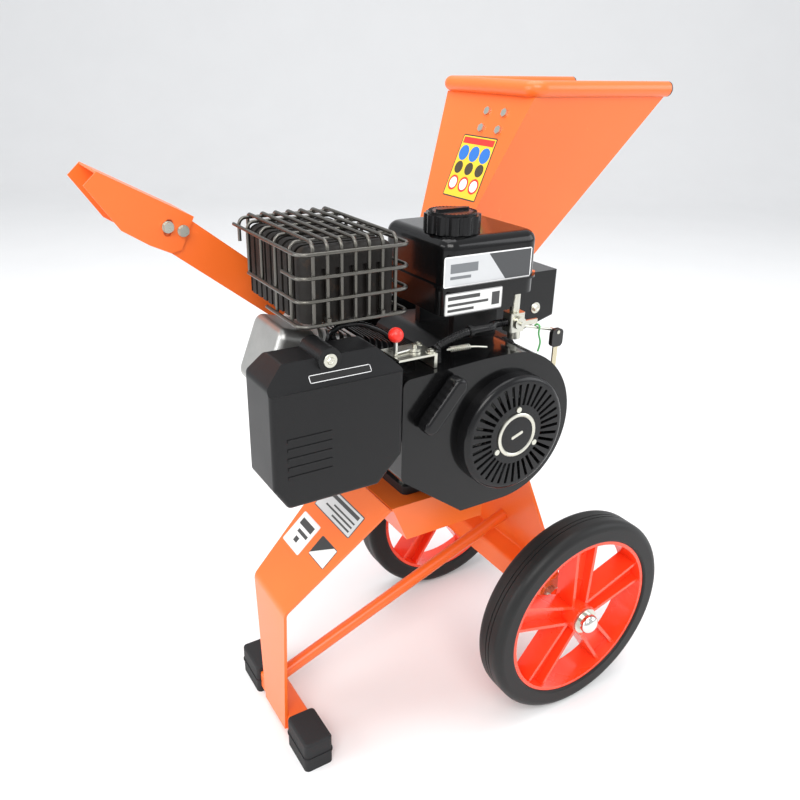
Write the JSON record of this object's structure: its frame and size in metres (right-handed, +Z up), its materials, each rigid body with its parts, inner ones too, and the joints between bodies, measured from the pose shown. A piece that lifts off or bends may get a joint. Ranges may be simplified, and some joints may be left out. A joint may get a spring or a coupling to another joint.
{
  "type": "wood chipper",
  "caption": "Petrol wood chipper on two spoked wheels, with a pull-start engine, feed hopper and tilting discharge deflector.",
  "frame": {"origin": "on the ground under the crankshaft, in the middle of the overall length and width", "axes": "+X from the discharge towards the hopper, +Y from the pull starter towards the chipping chamber, +Z up"},
  "size_m": [0.814, 0.4638, 0.8431],
  "materials": {
    "orange_coat": "satin powder coat",
    "rubber": "matte",
    "tyre": "matte",
    "rim_plastic": "semi gloss",
    "chrome": "polished",
    "zinc": "zinc plated",
    "black_coat": "gloss",
    "tool_steel": "ground",
    "cast_alloy": "as cast",
    "black_plastic": "textured",
    "exhaust_steel": "heat resistant"
  },
  "bodies": {
    "machine": {"air_box_base": "black_plastic", "air_box_cover": "black_plastic", "anvil_bar": "tool_steel", "axle": "zinc", "axle_washers": "zinc", "brace_rod": "orange_coat", "carburettor": "cast_alloy", "control_bracket": "zinc", "cover_bolts": "zinc", "crankcase": "cast_alloy", "cylinder": "cast_alloy", "cylinder_head": "cast_alloy", "deflector_bolts": "zinc", "discharge_chute": "orange_coat", "engine_bolts": "zinc", "engine_platform": "orange_coat", "exhaust_elbow": "exhaust_steel", "fan_shroud": "black_coat", "foot_bar": "orange_coat", "front_leg": "orange_coat", "fuel_hose": "rubber", "fuel_tank": "black_coat", "fuel_tap": "zinc", "hopper": "orange_coat", "hopper_bolts": "zinc", "hopper_flap": "rubber", "hopper_rim_tube": "orange_coat", "housing_cover": "black_coat", "hub_caps": "chrome", "muffler": "exhaust_steel", "muffler_cage": "exhaust_steel", "oil_dipstick": "black_plastic", "rear_plate": "orange_coat", "recoil_cover": "black_plastic", "recoil_screws": "zinc", "rotor_housing": "black_coat", "rubber_foot_far": "rubber", "rubber_foot_near": "rubber", "spark_lead": "rubber", "spark_plug": "rubber", "tube_end_caps": "black_plastic", "valve_cover": "cast_alloy"},
    "near_wheel": {"wheel_rim_near": "rim_plastic", "tyre_near": "tyre"},
    "far_wheel": {"wheel_rim_far": "rim_plastic", "tyre_far": "tyre"},
    "rotor": {"crankshaft": "tool_steel", "flywheel": "cast_alloy", "rotor_disc": "tool_steel", "chipper_knives": "tool_steel", "knife_bolts": "tool_steel", "rotor_bolt": "tool_steel"},
    "starter_reel": {"recoil_reel": "black_plastic"},
    "grip": {"starter_grip": "black_plastic"},
    "deflector": {"deflector": "orange_coat"},
    "throttle": {"throttle_lever": "zinc"},
    "choke": {"choke_lever": "zinc"},
    "tap_lever": {"fuel_tap_lever": "zinc"},
    "tank_cap": {"fuel_cap": "black_plastic"},
    "key_pair": {"keys": "zinc"}
  },
  "joints": [
    {"name": "near_wheel_spin", "type": "hinge", "parent": "machine", "child": "near_wheel", "pos_m": [0.126, -0.019, 0.15], "axis": [0, 1, 0], "continuous": true},
    {"name": "far_wheel_spin", "type": "hinge", "parent": "machine", "child": "far_wheel", "pos_m": [0.126, -0.019, 0.15], "axis": [0, 1, 0], "continuous": true},
    {"name": "rotor_spin", "type": "hinge", "parent": "machine", "child": "rotor", "pos_m": [0, 0, 0.456], "axis": [0, 1, 0], "continuous": true},
    {"name": "grip_pull", "type": "slide", "parent": "machine", "child": "grip", "axis": [0, -1, 0], "range_m": [0, 0.048], "stiffness_N_per_m": 120},
    {"name": "starter_reel_turn", "type": "hinge", "parent": "machine", "child": "starter_reel", "pos_m": [0, 0, 0.456], "axis": [0, 1, 0], "range_deg": [0, 106.78]},
    {"name": "deflector_tilt", "type": "hinge", "parent": "machine", "child": "deflector", "pos_m": [-0.30588, 0.119, 0.68016], "axis": [0, 1, 0], "range_deg": [-12, 20]},
    {"name": "throttle_swing", "type": "hinge", "parent": "machine", "child": "throttle", "pos_m": [-0.118, -0.13, 0.57], "axis": [0, 0, 1], "range_deg": [-20, 35]},
    {"name": "choke_swing", "type": "hinge", "parent": "machine", "child": "choke", "pos_m": [-0.198, -0.09, 0.542], "axis": [0, 0, 1], "range_deg": [-12, 6]},
    {"name": "tap_lever_turn", "type": "hinge", "parent": "machine", "child": "tap_lever", "pos_m": [0.038, -0.12, 0.574], "axis": [0, 1, 0], "range_deg": [0, 90]},
    {"name": "tank_cap_turn", "type": "hinge", "parent": "machine", "child": "tank_cap", "pos_m": [-0.042, -0.084, 0.7], "axis": [0, 0, 1], "range_deg": [0, 90]},
    {"name": "keys_swing", "type": "hinge", "parent": "machine", "child": "key_pair", "pos_m": [0.104, -0.119, 0.552], "axis": [0, 1, 0], "range_deg": [-40, 20]}
  ],
  "couplings": [
    {"joint": "starter_reel_turn", "follows": "grip_pull", "rad_per_m": 38.462}
  ]
}
